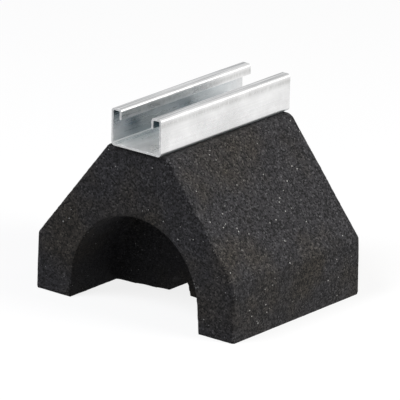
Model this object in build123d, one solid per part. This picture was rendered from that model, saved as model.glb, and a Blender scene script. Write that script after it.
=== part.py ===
from build123d import *
import math
import os

# Rooftop support block: a moulded rubber block with a short length of strut channel
# screwed along its flat top. Millimetres, +Z up, channel along Y.
# Origin: the middle of the rectangle on which the block's feet stand.

# --- rubber block: outline ---
block_width = 165.0         # across the feet, along X
block_length = 134.0        # between the end faces at the feet, along Y
block_height = 112.5        # feet to the flat top
band_height = 39.0          # upright lower band of each side, up to the shoulder
crest_width = 49.0          # top, between the two slopes produced to sharp corners
side_draft = 0.4            # degrees the lower bands lean in
end_draft = 1.0             # degrees the end faces lean in
crest_radius = 7.0          # top to slope
shoulder_radius = 3.0       # slope to lower band
rim_radius = 1.5            # around both end faces

# --- rubber block: the arch pockets under it ---
leg_width = 28.8            # a leg, measured at its foot
leg_draft = 5.5             # degrees the inner leg faces lean in, up to the round crown
crown_height = 66.2         # underside of the arch at its middle
web_thickness = 38.0        # solid wall between the two pockets
pocket_radius = 2.0         # arch surface to wall
mouth_radius = 1.2          # worn edge around each arch mouth

# --- rubber block: drain notch through the foot of the wall ---
notch_foot_width = 19.0
notch_top_width = 12.0
notch_height = 12.5
notch_radius = 4.0
foot_fall = 3.4             # how far the wall's underside rises from the legs to its middle
overrun = 1.0               # how far the pockets are cut past the end faces

# --- strut channel, 41.3 x 25.4 (1-5/8 x 1 in), cold rolled ---
channel_width = 41.3
channel_height = 25.4
channel_length = block_length   # cut flush with the feet
sheet = 1.5                 # steel thickness
floor_bend = 1.2            # inside radius, floor to side
lip_width = 8.2             # each lip, seen from above
lip_depth = 7.1             # how far each lip turns down
lip_bend = 0.6              # inside radius of both bends of a lip

# --- hexagon coach screws and washers, M8 x 40 ---
screw_diameter = 8.0
screw_length = 40.0         # under the head
screw_point = 7.0           # length of the conical tip
head_flats = 13.0
head_height = 5.5
head_chamfer = 30.0         # degrees
screw_spacing = 56.0        # between the two screws, along Y
washer_diameter = 16.0
washer_thickness = 1.6
bore_clearance = 0.4        # screw in washer and channel floor, on diameter
screw_places = [-screw_spacing / 2, screw_spacing / 2]


def run_of(degrees, rise):
    """Sideways run of a face that leans by some degrees over a rise."""
    return rise * math.tan(math.radians(degrees))


def solid_along_y(face, length):
    """A profile drawn on XZ, drawn out to half the length each way."""
    return extrude(face, amount=length / 2, both=True)


def block_outline():
    """The block with its slopes and drafted end faces, without its pockets."""
    foot = block_width / 2
    shoulder = foot - run_of(side_draft, band_height)
    crest = crest_width / 2
    front_view = Plane.XZ * make_face(Polyline(
        (-foot, 0), (-shoulder, band_height), (-crest, block_height),
        (crest, block_height), (shoulder, band_height), (foot, 0), close=True))
    body = solid_along_y(front_view, block_length)
    feet, shoulders, crests = body.edges().filter_by(Axis.Y).group_by(Axis.Z)
    body = fillet(shoulders, shoulder_radius)
    crests = body.edges().filter_by(Axis.Y).group_by(Axis.Z)[-1]
    body = fillet(crests, crest_radius)
    end = block_length / 2
    crest_end = end - run_of(end_draft, block_height)
    side_view = Plane.YZ * make_face(Polyline(
        (-end, 0), (-crest_end, block_height), (crest_end, block_height), (end, 0), close=True))
    body = body & extrude(side_view, amount=block_width / 2, both=True)
    rims = [edge for edge in body.edges()
            if edge.bounding_box().size.Y < block_length / 2 and edge.center().Z > rim_radius]
    return fillet(rims, rim_radius)


def arch_profile():
    """The arch on XZ: two drafted leg faces that run into a round crown."""
    foot = block_width / 2 - leg_width
    lean = math.radians(leg_draft)
    radius = (foot - crown_height * math.tan(lean)) / (1 / math.cos(lean) - math.tan(lean))
    centre = crown_height - radius
    side = radius * math.cos(lean)
    spring = centre + radius * math.sin(lean)
    legs = Polyline((-side, spring), (-foot, 0), (foot, 0), (side, spring))
    crown = CenterArc((0, centre), radius, start_angle=leg_draft, arc_size=180 - 2 * leg_draft)
    return Plane.XZ * make_face([legs, crown])


def arch_pocket():
    """One pocket, from the wall out past the end face at +Y."""
    wall = web_thickness / 2
    pocket = extrude(arch_profile(), amount=wall - block_length / 2 - overrun)
    pocket = Pos(0, wall, 0) * pocket
    inner = [edge for edge in pocket.edges().group_by(Axis.Y)[0] if edge.center().Z > 0]
    return fillet(inner, pocket_radius)


def drain_notch():
    """The notch through the wall's foot, with the shallow fall of its underside."""
    foot, top = notch_foot_width / 2, notch_top_width / 2
    opening = Plane.XZ * make_face(Polyline(
        (-foot, 0), (-top, notch_height), (top, notch_height), (foot, 0), close=True))
    through = web_thickness + 2 * pocket_radius
    notch = solid_along_y(opening, through)
    notch = fillet(notch.edges().filter_by(Axis.Y).group_by(Axis.Z)[-1], notch_radius)
    leg = block_width / 2 - leg_width
    fall = Plane.XZ * make_face(Polyline((-leg, 0), (0, foot_fall), (leg, 0), close=True))
    return notch + solid_along_y(fall, through)


def screw_at(y):
    """One coach screw, its head seated on the washer."""
    seat = block_height + sheet + washer_thickness
    radius = screw_diameter / 2
    tip = seat - screw_length
    shank = Plane.XZ * make_face(Polyline(
        (0, tip), (radius, tip + screw_point), (radius, seat), (0, seat), close=True))
    shank = revolve(shank, Axis.Z)
    across_corners = head_flats / math.cos(math.radians(30))
    head = extrude(RegularPolygon(across_corners / 2, 6), head_height)
    flat = head_flats / 2
    slope = math.tan(math.radians(head_chamfer))
    edge = flat + head_height / slope
    blank = Plane.XZ * make_face(Polyline(
        (0, 0), (edge, 0), (flat, head_height), (0, head_height), close=True))
    head = head & revolve(blank, Axis.Z)
    return Pos(0, y, 0) * (shank + Pos(0, 0, seat) * head)


def washer_at(y):
    """One flat washer on the channel's floor."""
    ring = Circle(washer_diameter / 2) - Circle((screw_diameter + bore_clearance) / 2)
    return Pos(0, y, block_height + sheet) * extrude(ring, washer_thickness)


def rubber_block():
    """The whole block, gripping the two screws."""
    body = block_outline()
    pocket = arch_pocket()
    body = body - pocket - mirror(pocket, Plane.XZ) - drain_notch()
    mouth_end = block_length / 2 - run_of(end_draft, crown_height)
    inside = block_width / 2 - leg_width + mouth_radius
    mouths = [edge for edge in body.edges()
              if abs(edge.center().Y) > mouth_end - mouth_radius
              and abs(edge.center().X) < inside and 0 < edge.center().Z < crown_height + mouth_radius]
    body = fillet(mouths, mouth_radius)
    for y in screw_places:
        body = body - screw_at(y)
    return body


def strut_channel():
    """The lipped channel: one strip of steel, rolled to shape, with two holes in its floor."""
    half = sheet / 2
    side = channel_width / 2 - half
    top = channel_height - half
    lip = channel_width / 2 - lip_width + half
    drop = channel_height - lip_depth
    strip = FilletPolyline(
        (-lip, drop), (-lip, top), (-side, top), (-side, half),
        (side, half), (side, top), (lip, top), (lip, drop),
        radius=[lip_bend + half] * 2 + [floor_bend + half] * 2 + [lip_bend + half] * 2)
    section = Plane.XZ * trace(strip, line_width=sheet)
    channel = Pos(0, 0, block_height) * solid_along_y(section, channel_length)
    for y in screw_places:
        hole = Cylinder((screw_diameter + bore_clearance) / 2, 4 * sheet)
        channel = channel - Pos(0, y, block_height) * hole
    return channel


os.makedirs("parts", exist_ok=True)
export_step(rubber_block(), "parts/rubber_block.step")
export_step(strut_channel(), "parts/strut_channel.step")
export_step(Compound([screw_at(y) for y in screw_places]), "parts/coach_screws.step")
export_step(Compound([washer_at(y) for y in screw_places]), "parts/flat_washers.step")
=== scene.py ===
import math

import bmesh
import bpy
from mathutils import Matrix, Vector


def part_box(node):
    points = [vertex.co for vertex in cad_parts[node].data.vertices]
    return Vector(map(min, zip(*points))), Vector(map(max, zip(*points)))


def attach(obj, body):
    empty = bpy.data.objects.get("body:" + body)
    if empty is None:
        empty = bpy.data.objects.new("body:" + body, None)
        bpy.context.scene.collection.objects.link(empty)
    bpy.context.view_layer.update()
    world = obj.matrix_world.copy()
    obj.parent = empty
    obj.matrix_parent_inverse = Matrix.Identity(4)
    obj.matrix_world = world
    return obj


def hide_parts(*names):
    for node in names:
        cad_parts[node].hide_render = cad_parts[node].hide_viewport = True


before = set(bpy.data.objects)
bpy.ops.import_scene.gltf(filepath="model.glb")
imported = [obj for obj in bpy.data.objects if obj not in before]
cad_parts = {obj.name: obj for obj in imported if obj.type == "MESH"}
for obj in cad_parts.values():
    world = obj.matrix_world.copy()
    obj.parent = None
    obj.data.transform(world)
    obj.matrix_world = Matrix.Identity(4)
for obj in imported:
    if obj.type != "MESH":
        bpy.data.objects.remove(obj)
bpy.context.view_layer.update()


# ---------------------------------------------------------------------------
# Shared helpers: small builders for nodes and materials, and the sharp-edge mask that the
# rubber uses for worn edges and the zinc for a painted edge highlight.
# ---------------------------------------------------------------------------

def new_group(name, tree_type, inputs, outputs):
    """A node group with its sockets, and its input and output nodes."""
    tree = bpy.data.node_groups.new(name, tree_type)
    for label, kind, default in inputs:
        socket = tree.interface.new_socket(name=label, in_out="INPUT", socket_type=kind)
        if default is not None:
            socket.default_value = default
    for label, kind in outputs:
        tree.interface.new_socket(name=label, in_out="OUTPUT", socket_type=kind)
    return tree, tree.nodes.new("NodeGroupInput"), tree.nodes.new("NodeGroupOutput")


def socket_id(tree, label):
    """The identifier of a group's named input, which a modifier is set by."""
    return next(item.identifier for item in tree.interface.items_tree
                if item.name == label and item.in_out == "INPUT")


def add_math(tree, operation, first, second=None):
    """A Math node fed by sockets or plain numbers. Returns its output."""
    node = tree.nodes.new("ShaderNodeMath")
    node.operation = operation
    for index, value in enumerate((first, second)):
        if value is None:
            continue
        if isinstance(value, (int, float)):
            node.inputs[index].default_value = value
        else:
            tree.links.new(value, node.inputs[index])
    return node.outputs[0]


def add_range(tree, value, low, high, to_low=0.0, to_high=1.0, soft=False):
    """A clamped Map Range node."""
    node = tree.nodes.new("ShaderNodeMapRange")
    node.interpolation_type = "SMOOTHSTEP" if soft else "LINEAR"
    tree.links.new(value, node.inputs["Value"])
    node.inputs["From Min"].default_value = low
    node.inputs["From Max"].default_value = high
    node.inputs["To Min"].default_value = to_low
    node.inputs["To Max"].default_value = to_high
    return node.outputs["Result"]


def add_noise(tree, vector, scale, detail=4.0, roughness=0.5):
    """A Noise Texture node. The scale is cells per metre."""
    node = tree.nodes.new("ShaderNodeTexNoise")
    tree.links.new(vector, node.inputs["Vector"])
    if isinstance(scale, (int, float)):
        node.inputs["Scale"].default_value = scale
    else:
        tree.links.new(scale, node.inputs["Scale"])
    node.inputs["Detail"].default_value = detail
    node.inputs["Roughness"].default_value = roughness
    return node


# The sockets of a Mix node that are in use when it mixes colours.
MIX_FACTOR, MIX_FIRST, MIX_SECOND, MIX_RESULT = 0, 6, 7, 2


def add_mix(tree, factor, first, second, blend="MIX"):
    """A colour Mix node fed by sockets, colours or a plain factor."""
    node = tree.nodes.new("ShaderNodeMix")
    node.data_type = "RGBA"
    node.blend_type = blend
    for index, value in ((MIX_FACTOR, factor), (MIX_FIRST, first), (MIX_SECOND, second)):
        if isinstance(value, (int, float)):
            node.inputs[index].default_value = value
        elif isinstance(value, tuple):
            node.inputs[index].default_value = (*value, 1.0)
        else:
            tree.links.new(value, node.inputs[index])
    return node.outputs[MIX_RESULT]


def new_material(name):
    """A material with an empty tree, a Principled BSDF, its output, and Object coordinates."""
    material = bpy.data.materials.new(name)
    material.use_nodes = True
    tree = material.node_tree
    tree.nodes.clear()
    shader = tree.nodes.new("ShaderNodeBsdfPrincipled")
    output = tree.nodes.new("ShaderNodeOutputMaterial")
    tree.links.new(shader.outputs["BSDF"], output.inputs["Surface"])
    place = tree.nodes.new("ShaderNodeTexCoord").outputs["Object"]
    return material, tree, shader, place


def add_group(tree, group, **values):
    """One use of a shader node group, with its own values or links."""
    node = tree.nodes.new("ShaderNodeGroup")
    node.node_tree = group
    for label, value in values.items():
        socket = node.inputs[label.replace("_", " ")]
        if isinstance(value, (int, float)):
            socket.default_value = value
        else:
            tree.links.new(value, socket)
    return node


def edge_wear_and_highlight_group():
    """Mask of sharp edges, 1 on a sharp edge and 0 on a flat: worn edges on the rubber, a painted
    highlight on the zinc.
    """
    tree, source, sink = new_group(
        "edge wear and highlight", "ShaderNodeTree",
        [("Vector", "NodeSocketVector", None), ("Radius", "NodeSocketFloat", 0.001),
         ("Break Up", "NodeSocketFloat", 400.0)],
        [("Mask", "NodeSocketFloat")])
    bevel = tree.nodes.new("ShaderNodeBevel")
    bevel.samples = 6
    tree.links.new(source.outputs["Radius"], bevel.inputs["Radius"])
    flat = tree.nodes.new("ShaderNodeNewGeometry").outputs["Normal"]
    dot = tree.nodes.new("ShaderNodeVectorMath")
    dot.operation = "DOT_PRODUCT"
    tree.links.new(bevel.outputs["Normal"], dot.inputs[0])
    tree.links.new(flat, dot.inputs[1])
    turned = add_range(tree, dot.outputs["Value"], 0.995, 0.90, soft=True)
    patch = add_noise(tree, source.outputs["Vector"], source.outputs["Break Up"], 3.0)
    patch = add_range(tree, patch.outputs["Fac"], 0.35, 0.65)
    tree.links.new(add_math(tree, "MULTIPLY", turned, patch), sink.inputs["Mask"])
    return tree


edge_wear_and_highlight = edge_wear_and_highlight_group()


# ---------------------------------------------------------------------------
# Rubber block. The real block is one pressing of black rubber crumb bound with resin,
# as it comes out of the mould: a fine open grain, a few pale crumbs, softly chipped edges.
# ---------------------------------------------------------------------------

def crumb_group():
    """Cells the size of rubber crumbs: a tone for each, the crack between, pits that take painted
    shade, pale crumbs.
    """
    tree, source, sink = new_group(
        "rubber crumb", "ShaderNodeTree",
        [("Vector", "NodeSocketVector", None), ("Crumbs", "NodeSocketFloat", 1000.0),
         ("Pale Share", "NodeSocketFloat", 0.003)],
        [("Tone", "NodeSocketFloat"), ("Crack", "NodeSocketFloat"),
         ("Shaded Pit", "NodeSocketFloat"), ("Pale", "NodeSocketFloat")])
    warp = add_noise(tree, source.outputs["Vector"], 1300.0, 2.0)
    bend = tree.nodes.new("ShaderNodeVectorMath")
    bend.operation = "MULTIPLY_ADD"
    tree.links.new(warp.outputs["Color"], bend.inputs[0])
    bend.inputs[1].default_value = (0.0007, 0.0007, 0.0007)
    tree.links.new(source.outputs["Vector"], bend.inputs[2])
    cells = tree.nodes.new("ShaderNodeTexVoronoi")
    rims = tree.nodes.new("ShaderNodeTexVoronoi")
    rims.feature = "DISTANCE_TO_EDGE"
    for node in (cells, rims):
        tree.links.new(bend.outputs["Vector"], node.inputs["Vector"])
        tree.links.new(source.outputs["Crumbs"], node.inputs["Scale"])
    split = tree.nodes.new("ShaderNodeSeparateColor")
    tree.links.new(cells.outputs["Color"], split.inputs["Color"])
    tree.links.new(split.outputs["Red"], sink.inputs["Tone"])
    spread = add_noise(tree, source.outputs["Vector"], 150.0, 2.0)
    spread = add_range(tree, spread.outputs["Fac"], 0.50, 0.72, 0.25, 9.0)
    share = add_math(tree, "MULTIPLY", source.outputs["Pale Share"], spread)
    chosen = add_math(tree, "LESS_THAN", split.outputs["Green"], share)
    heart = add_range(tree, cells.outputs["Distance"], 0.34, 0.52, 1.0, 0.0)
    tree.links.new(add_math(tree, "MULTIPLY", chosen, heart), sink.inputs["Pale"])
    crack = add_range(tree, rims.outputs["Distance"], 0.0, 0.20, 1.0, 0.0, soft=True)
    tree.links.new(crack, sink.inputs["Crack"])
    holes = add_noise(tree, source.outputs["Vector"], 620.0, 2.0)
    pit = add_range(tree, holes.outputs["Fac"], 0.62, 0.70, soft=True)
    tree.links.new(pit, sink.inputs["Shaded Pit"])
    return tree


rubber_crumb = crumb_group()


def rubber_material():
    """Black rubber crumb: cells of different greys, brownish clouds, pale specks, and pits painted
    near black as their shade.
    """
    material, tree, shader, place = new_material("rubber crumb black")
    crumb = add_group(tree, rubber_crumb, Vector=place, Crumbs=900.0, Pale_Share=0.0030)
    tone = tree.nodes.new("ShaderNodeValToRGB")
    ramp = tone.color_ramp
    steps = [(0.0, (0.004, 0.004, 0.004)), (0.20, (0.010, 0.010, 0.010)),
             (0.40, (0.034, 0.034, 0.035)), (0.82, (0.054, 0.053, 0.054)),
             (1.0, (0.095, 0.095, 0.095))]
    ramp.elements[0].color = (*steps[0][1], 1.0)
    ramp.elements[1].color = (*steps[-1][1], 1.0)
    for position, colour in steps[1:-1]:
        ramp.elements.new(position).color = (*colour, 1.0)
    tree.links.new(crumb.outputs["Tone"], tone.inputs["Fac"])
    cloud = add_noise(tree, place, 24.0, 4.0)
    brown = add_range(tree, cloud.outputs["Fac"], 0.46, 0.66)
    tint = add_mix(tree, brown, (0.99, 0.98, 1.03), (1.12, 1.02, 0.88))
    colour = add_mix(tree, 1.0, tone.outputs["Color"], tint, "MULTIPLY")
    patch = add_noise(tree, place, 260.0, 4.0, 0.7)
    patch = add_range(tree, patch.outputs["Fac"], 0.3, 0.7, 0.62, 1.36)
    shade = tree.nodes.new("ShaderNodeVectorMath")
    shade.operation = "SCALE"
    tree.links.new(colour, shade.inputs[0])
    tree.links.new(patch, shade.inputs["Scale"])
    colour = add_mix(tree, add_math(tree, "MULTIPLY", crumb.outputs["Crack"], 0.35),
                     shade.outputs["Vector"], (0.007, 0.007, 0.008))
    # painted shade: the pits are painted near black for the shade that falls inside them; the bump
    # below also sinks them
    colour = add_mix(tree, crumb.outputs["Shaded Pit"], colour, (0.004, 0.004, 0.005))
    wear_and_highlight = add_group(tree, edge_wear_and_highlight, Vector=place, Radius=0.0016, Break_Up=330.0)
    colour = add_mix(tree, add_math(tree, "MULTIPLY", wear_and_highlight.outputs["Mask"], 0.25),
                     colour, (0.075, 0.075, 0.078))
    colour = add_mix(tree, crumb.outputs["Pale"], colour, (0.46, 0.46, 0.45))
    tree.links.new(colour, shader.inputs["Base Color"])
    rough = add_range(tree, crumb.outputs["Tone"], 0.0, 1.0, 0.62, 0.90)
    tree.links.new(rough, shader.inputs["Roughness"])
    shader.inputs["Specular IOR Level"].default_value = 0.12
    fine = add_noise(tree, place, 2600.0, 3.0)
    height = add_math(tree, "MULTIPLY", fine.outputs["Fac"], 0.5)
    height = add_math(tree, "ADD", height, crumb.outputs["Tone"])
    height = add_math(tree, "SUBTRACT", height, crumb.outputs["Crack"])
    sunk = add_math(tree, "MULTIPLY", crumb.outputs["Shaded Pit"], 1.6)
    height = add_math(tree, "SUBTRACT", height, sunk)
    bump = tree.nodes.new("ShaderNodeBump")
    bump.inputs["Strength"].default_value = 0.7
    bump.inputs["Distance"].default_value = 0.0003
    tree.links.new(height, bump.inputs["Height"])
    tree.links.new(bump.outputs["Normal"], shader.inputs["Normal"])
    return material


def relief_tree(material):
    """Geometry Nodes: presses a shallow crumb relief inwards."""
    tree, source, sink = new_group(
        "crumb relief", "GeometryNodeTree",
        [("Geometry", "NodeSocketGeometry", None), ("Depth", "NodeSocketFloat", 0.0003),
         ("Crumbs", "NodeSocketFloat", 300.0), ("Lumps", "NodeSocketFloat", 60.0)],
        [("Geometry", "NodeSocketGeometry")])
    place = tree.nodes.new("GeometryNodeInputPosition").outputs["Position"]
    small = add_noise(tree, place, source.outputs["Crumbs"], 2.0)
    large = add_noise(tree, place, source.outputs["Lumps"], 2.0)
    small = add_range(tree, small.outputs["Fac"], 0.25, 0.75)
    large = add_range(tree, large.outputs["Fac"], 0.3, 0.7)
    both = add_math(tree, "ADD", small, large)
    depth = add_math(tree, "MULTIPLY", both, source.outputs["Depth"])
    inward = add_math(tree, "MULTIPLY", depth, -0.5)
    normal = tree.nodes.new("GeometryNodeInputNormal").outputs["Normal"]
    offset = tree.nodes.new("ShaderNodeVectorMath")
    offset.operation = "SCALE"
    tree.links.new(normal, offset.inputs[0])
    tree.links.new(inward, offset.inputs["Scale"])
    move = tree.nodes.new("GeometryNodeSetPosition")
    tree.links.new(source.outputs["Geometry"], move.inputs["Geometry"])
    tree.links.new(offset.outputs["Vector"], move.inputs["Offset"])
    real = tree.nodes.new("GeometryNodeRealizeInstances")
    finish = tree.nodes.new("GeometryNodeSetMaterial")
    finish.inputs["Material"].default_value = material
    tree.links.new(move.outputs["Geometry"], real.inputs["Geometry"])
    tree.links.new(real.outputs["Geometry"], finish.inputs["Geometry"])
    tree.links.new(finish.outputs["Geometry"], sink.inputs["Geometry"])
    return tree


def merged_copy(node, name):
    """A new object with a CAD node's mesh, its loose triangles joined."""
    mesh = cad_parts[node].data.copy()
    mesh.name = name
    copy = bpy.data.objects.new(name, mesh)
    bpy.context.scene.collection.objects.link(copy)
    work = bmesh.new()
    work.from_mesh(mesh)
    bmesh.ops.remove_doubles(work, verts=work.verts, dist=1e-6)
    work.to_mesh(mesh)
    work.free()
    mesh.update()
    return copy


def apply_modifiers(piece):
    """Swaps the piece's mesh for its evaluated one and removes the modifiers."""
    graph = bpy.context.evaluated_depsgraph_get()
    mesh = bpy.data.meshes.new_from_object(piece.evaluated_get(graph))
    piece.modifiers.clear()
    piece.data = mesh


block = merged_copy("rubber_block", "rubber_body")
skin = block.modifiers.new("even skin", "REMESH")
skin.mode = "VOXEL"
skin.voxel_size = 0.0011
skin.use_smooth_shade = True
apply_modifiers(block)
relief = relief_tree(rubber_material())
press = block.modifiers.new("crumb relief", "NODES")
press.node_group = relief
press[socket_id(relief, "Depth")] = 0.0003
press[socket_id(relief, "Crumbs")] = 330.0
press[socket_id(relief, "Lumps")] = 70.0
apply_modifiers(block)
low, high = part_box("rubber_block")  # the relief stays within the block's own box
for vertex in block.data.vertices:
    vertex.co = [min(max(v, a), b) for v, a, b in zip(vertex.co, low, high)]
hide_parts("rubber_block")
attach(block, "root")


# ---------------------------------------------------------------------------
# Strut channel. Pre-galvanised steel strip, cold rolled to a lipped channel and sheared
# to length, so the zinc has faint lines along it and the sheared ends are a duller grey.
# ---------------------------------------------------------------------------

BEND_BELOW_TOP = 0.0044  # from the top of the lips down to where the bends craze
bend_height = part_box("strut_channel")[1][2] - BEND_BELOW_TOP


def zinc_group():
    """Zinc skin: clouds, lines drawn out along the strip, crazing at its bends, painted shade in
    its folds, cut ends.
    """
    tree, source, sink = new_group(
        "zinc skin", "ShaderNodeTree",
        [("Vector", "NodeSocketVector", None), ("Lines", "NodeSocketFloat", 900.0),
         ("Clouds", "NodeSocketFloat", 60.0), ("Fold Shade", "NodeSocketFloat", 0.024),
         ("Bend Height", "NodeSocketFloat", bend_height)],
        [("Lines", "NodeSocketFloat"), ("Clouds", "NodeSocketFloat"),
         ("Fold Shade", "NodeSocketFloat"), ("Crazing", "NodeSocketFloat"), ("Bend", "NodeSocketFloat"),
         ("Upper Face", "NodeSocketFloat"), ("Cut End", "NodeSocketFloat")])

    def drawn_out(stretch):
        mapping = tree.nodes.new("ShaderNodeMapping")
        mapping.inputs["Scale"].default_value = stretch
        tree.links.new(source.outputs["Vector"], mapping.inputs["Vector"])
        return add_noise(tree, mapping.outputs["Vector"], source.outputs["Lines"], 3.0, 0.6)

    lines = drawn_out((1.0, 0.012, 1.0))
    ticks = drawn_out((1.0, 1.0, 0.25))
    tree.links.new(lines.outputs["Fac"], sink.inputs["Lines"])
    clouds = add_noise(tree, source.outputs["Vector"], source.outputs["Clouds"], 5.0, 0.65)
    tree.links.new(clouds.outputs["Fac"], sink.inputs["Clouds"])
    facing = tree.nodes.new("ShaderNodeSeparateXYZ")
    tree.links.new(tree.nodes.new("ShaderNodeNewGeometry").outputs["Normal"], facing.inputs[0])
    upright = add_range(tree, add_math(tree, "ABSOLUTE", facing.outputs["X"]), 0.3, 0.9, 0.45, 1.0)
    # painted shade: ambient occlusion finds the inner folds of the channel, where shade falls, to
    # paint them darker
    fold_shade_ao = tree.nodes.new("ShaderNodeAmbientOcclusion")
    fold_shade_ao.samples = 8
    tree.links.new(source.outputs["Fold Shade"], fold_shade_ao.inputs["Distance"])
    shaded = add_range(tree, fold_shade_ao.outputs["AO"], 0.15, 0.80, 1.0, 0.0)
    tree.links.new(add_math(tree, "MULTIPLY", shaded, upright), sink.inputs["Fold Shade"])
    spot = tree.nodes.new("ShaderNodeSeparateXYZ")
    tree.links.new(source.outputs["Vector"], spot.inputs[0])
    away = add_math(tree, "SUBTRACT", spot.outputs["Z"], source.outputs["Bend Height"])
    away = add_range(tree, add_math(tree, "ABSOLUTE", away), 0.0, 0.0032, 1.0, 0.0, soft=True)
    tick = add_range(tree, ticks.outputs["Fac"], 0.30, 0.62, 0.35, 1.0)
    tree.links.new(add_math(tree, "MULTIPLY", away, tick), sink.inputs["Crazing"])
    level = add_range(tree, facing.outputs["Z"], 0.45, 0.85)
    above = add_math(tree, "GREATER_THAN", spot.outputs["Z"], source.outputs["Bend Height"])
    tree.links.new(add_math(tree, "MULTIPLY", level, above), sink.inputs["Upper Face"])
    turned = add_math(tree, "ABSOLUTE", add_math(tree, "MULTIPLY", facing.outputs["X"],
                                                 facing.outputs["Z"]))
    tree.links.new(add_range(tree, turned, 0.10, 0.36), sink.inputs["Bend"])
    end = add_math(tree, "ABSOLUTE", facing.outputs["Y"])
    tree.links.new(add_range(tree, end, 0.80, 0.95), sink.inputs["Cut End"])
    return tree


zinc_skin = zinc_group()


def zinc_material(name, colour, low, high, lines, clouds, ends):
    """A zinc-coated steel finish, its roughness between two values, with dull cut ends or not."""
    material, tree, shader, place = new_material(name)
    zinc = add_group(tree, zinc_skin, Vector=place, Lines=lines, Clouds=clouds)

    def laid_over(base, mask, strength, tone):
        return add_mix(tree, add_math(tree, "MULTIPLY", mask, strength), base, tone)

    cloud = add_range(tree, zinc.outputs["Clouds"], 0.34, 0.66)
    line = add_range(tree, zinc.outputs["Lines"], 0.38, 0.60)
    mixed = add_mix(tree, cloud, tuple(0.80 * part for part in colour), colour)
    mixed = laid_over(mixed, line, 0.30, tuple(0.72 * part for part in colour))
    streak = add_math(tree, "MULTIPLY", zinc.outputs["Upper Face"],
                      add_range(tree, line, 0.0, 1.0, 0.15, 1.0))
    mixed = laid_over(mixed, streak, 0.85, (0.20, 0.21, 0.22))
    mixed = laid_over(mixed, zinc.outputs["Crazing"], 0.55, (0.40, 0.40, 0.39))
    mixed = laid_over(mixed, zinc.outputs["Bend"], 0.60, (0.60, 0.60, 0.60))
    # painted shade: the folds inside the channel are painted a dark teal grey
    mixed = laid_over(mixed, zinc.outputs["Fold Shade"], 0.90, (0.11, 0.20, 0.24))
    mixed = laid_over(mixed, zinc.outputs["Cut End"], ends, (0.36, 0.37, 0.38))
    # painted highlight: the sharp edges of the zinc are painted near white, standing in for the
    # glint of light along them
    wear_and_highlight = add_group(tree, edge_wear_and_highlight, Vector=place, Radius=0.0008, Break_Up=500.0)
    mixed = laid_over(mixed, wear_and_highlight.outputs["Mask"], 0.9, (0.95, 0.95, 0.95))
    tree.links.new(mixed, shader.inputs["Base Color"])
    shader.inputs["Metallic"].default_value = 1.0
    rough = add_range(tree, add_math(tree, "ADD", cloud, line), 0.0, 2.0, low, high)
    rough = add_math(tree, "ADD", rough, add_math(tree, "MULTIPLY", zinc.outputs["Bend"], 0.15))
    tree.links.new(rough, shader.inputs["Roughness"])
    bump = tree.nodes.new("ShaderNodeBump")
    bump.inputs["Strength"].default_value = 0.2
    bump.inputs["Distance"].default_value = 0.0001
    tree.links.new(add_math(tree, "ADD", line, cloud), bump.inputs["Height"])
    tree.links.new(bump.outputs["Normal"], shader.inputs["Normal"])
    return material


def finish_node(name, material):
    """Gives a CAD node its material, in every slot."""
    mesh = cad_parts[name].data
    mesh.materials.clear()
    mesh.materials.append(material)


finish_node("strut_channel", zinc_material(
    "galvanised strip", (0.88, 0.88, 0.88), 0.22, 0.38, 800.0, 38.0, 0.7))


# ---------------------------------------------------------------------------
# Fixings. Two hexagon coach screws and their washers, bright zinc plated, hold the
# channel down: they pass through its floor and bite into the rubber.
# ---------------------------------------------------------------------------

plated = zinc_material("bright zinc plate", (0.74, 0.76, 0.80), 0.22, 0.36, 1500.0, 240.0, 0.0)
finish_node("coach_screws", plated)
finish_node("flat_washers", plated)


# ---------------------------------------------------------------------------
# Studio: a pale floor that keeps the object's shadow, soft lamps, and a long lens.
# ---------------------------------------------------------------------------

FLOOR_SIZE = 8.0
floor_mesh = bpy.data.meshes.new("floor")
half = FLOOR_SIZE / 2
floor_mesh.from_pydata([(-half, -half, 0), (half, -half, 0), (half, half, 0), (-half, half, 0)],
                       [], [(0, 1, 2, 3)])
floor = bpy.data.objects.new("floor", floor_mesh)
bpy.context.scene.collection.objects.link(floor)


def seen_directly(tree):
    """1 for rays from the lens, off a mirror or through glass, 0 for those that only light."""
    path = tree.nodes.new("ShaderNodeLightPath")
    seen = add_math(tree, "MAXIMUM", path.outputs["Is Camera Ray"], path.outputs["Is Glossy Ray"])
    return add_math(tree, "MAXIMUM", seen, path.outputs["Is Transmission Ray"])


def floor_material():
    """Matt white that the lens and reflections see as nearly pure white."""
    material = bpy.data.materials.new("white floor")
    material.use_nodes = True
    tree = material.node_tree
    tree.nodes.clear()
    matt = tree.nodes.new("ShaderNodeBsdfDiffuse")
    glow = tree.nodes.new("ShaderNodeEmission")
    seen = seen_directly(tree)
    tree.links.new(add_mix(tree, seen, (0.20, 0.20, 0.20), (0.95, 0.95, 0.95)),
                   matt.inputs["Color"])
    mix = tree.nodes.new("ShaderNodeMixShader")
    tree.links.new(add_math(tree, "MULTIPLY", seen, 0.84), mix.inputs["Fac"])
    tree.links.new(matt.outputs["BSDF"], mix.inputs[1])
    tree.links.new(glow.outputs["Emission"], mix.inputs[2])
    output = tree.nodes.new("ShaderNodeOutputMaterial")
    tree.links.new(mix.outputs["Shader"], output.inputs["Surface"])
    return material


floor_mesh.materials.append(floor_material())

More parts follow.
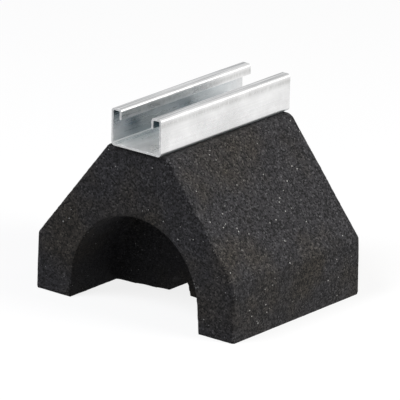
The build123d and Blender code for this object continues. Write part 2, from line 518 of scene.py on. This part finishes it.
world = bpy.data.worlds.new("studio")
bpy.context.scene.world = world
world.use_nodes = True
sky = world.node_tree
sky.nodes.clear()
backdrop = sky.nodes.new("ShaderNodeBackground")
backdrop.inputs["Color"].default_value = (1.0, 1.0, 1.0, 1.0)
strength = add_range(sky, seen_directly(sky), 0.0, 1.0, 0.12, 1.0)
sky.links.new(strength, backdrop.inputs["Strength"])
sky_output = sky.nodes.new("ShaderNodeOutputWorld")
sky.links.new(backdrop.outputs["Background"], sky_output.inputs["Surface"])


LAMP_SIZE = 0.8
LAMP_TARGET = (0.0, 0.0, 0.06)


def area_lamp(name, place, power, colour):
    """A square soft box that faces the middle of the object."""
    lamp = bpy.data.lights.new(name, "AREA")
    lamp.size = LAMP_SIZE
    lamp.energy = power
    lamp.color = colour
    holder = bpy.data.objects.new(name, lamp)
    holder.location = place
    holder.rotation_euler = (Vector(LAMP_TARGET) - Vector(place)).to_track_quat(
        "-Z", "Y").to_euler()
    bpy.context.scene.collection.objects.link(holder)


area_lamp("key", (1.5, 0.50, 0.95), 34.0, (1.0, 0.98, 0.95))
area_lamp("front", (-0.45, -1.0, 1.6), 31.0, (0.94, 0.95, 1.0))

AZIMUTH = math.radians(38.43)
ELEVATION = math.radians(18.60)
ROLL = math.radians(1.24)
CAMERA_DISTANCE = 4.241
FOCAL_LENGTH = 584.1  # millimetres, as is the sensor's width
SENSOR_WIDTH = 36.0
AIM_ACROSS, AIM_HEIGHT = 0.0003, 0.0627
back = Vector((math.sin(AZIMUTH) * math.cos(ELEVATION),
               -math.cos(AZIMUTH) * math.cos(ELEVATION), math.sin(ELEVATION)))
right = Vector((math.cos(AZIMUTH), math.sin(AZIMUTH), 0.0))
up = back.cross(right)
aim = right * AIM_ACROSS + Vector((0.0, 0.0, AIM_HEIGHT))
across = right * math.cos(ROLL) + up * math.sin(ROLL)
upright = up * math.cos(ROLL) - right * math.sin(ROLL)
lens = bpy.data.cameras.new("camera")
lens.lens = FOCAL_LENGTH
lens.sensor_width = SENSOR_WIDTH
lens.clip_end = 50.0
camera = bpy.data.objects.new("camera", lens)
turn = Matrix((across, upright, back)).transposed().to_4x4()
camera.matrix_world = Matrix.Translation(aim + back * CAMERA_DISTANCE) @ turn
bpy.context.scene.collection.objects.link(camera)
bpy.context.scene.camera = camera

bpy.context.scene.view_settings.view_transform = "Standard"
